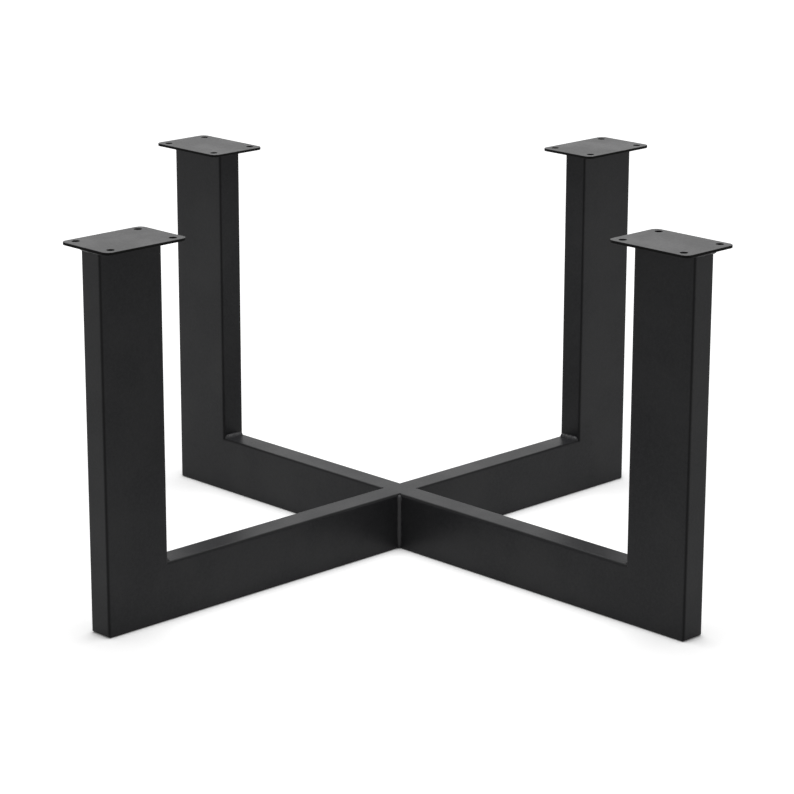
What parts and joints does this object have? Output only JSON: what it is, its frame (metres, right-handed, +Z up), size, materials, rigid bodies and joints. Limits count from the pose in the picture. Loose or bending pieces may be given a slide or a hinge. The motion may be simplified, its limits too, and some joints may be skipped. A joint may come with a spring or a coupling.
{
  "type": "x shaped table leg",
  "caption": "Low table base of black coated steel: crossed tube beams lie on the floor, a tube upright rises from each end and carries a drilled fixing plate.",
  "frame": {"origin": "on the floor, below the centre of the crossing", "axes": "+Z up; the arms run along +X and -Y (the two longer, front arms) and +Y and -X (the two shorter, back arms)"},
  "size_m": [0.809, 0.809, 0.41],
  "materials": {
    "tube_coat": "black fine-textured matt powder coat on steel tube",
    "plate_coat": "black fine-textured matt powder coat on flat steel plate",
    "weld_coat": "black powder coat over rippled weld beads"
  },
  "bodies": {
    "root": {"through_beam": "tube_coat", "front_right_half_beam": "tube_coat", "back_left_half_beam": "tube_coat", "front_right_upright": "tube_coat", "front_right_plate": "plate_coat", "front_right_plate_weld": "weld_coat", "front_right_corner_weld": "weld_coat", "back_right_upright": "tube_coat", "back_right_plate": "plate_coat", "back_right_plate_weld": "weld_coat", "back_right_corner_weld": "weld_coat", "back_left_upright": "tube_coat", "back_left_plate": "plate_coat", "back_left_plate_weld": "weld_coat", "back_left_corner_weld": "weld_coat", "front_left_upright": "tube_coat", "front_left_plate": "plate_coat", "front_left_plate_weld": "weld_coat", "front_left_corner_weld": "weld_coat", "crossing_weld_right": "weld_coat", "crossing_weld_back": "weld_coat", "crossing_weld_left": "weld_coat", "crossing_weld_front": "weld_coat", "crossing_top_weld_right": "tube_coat", "crossing_top_weld_left": "tube_coat"}
  },
  "joints": []
}
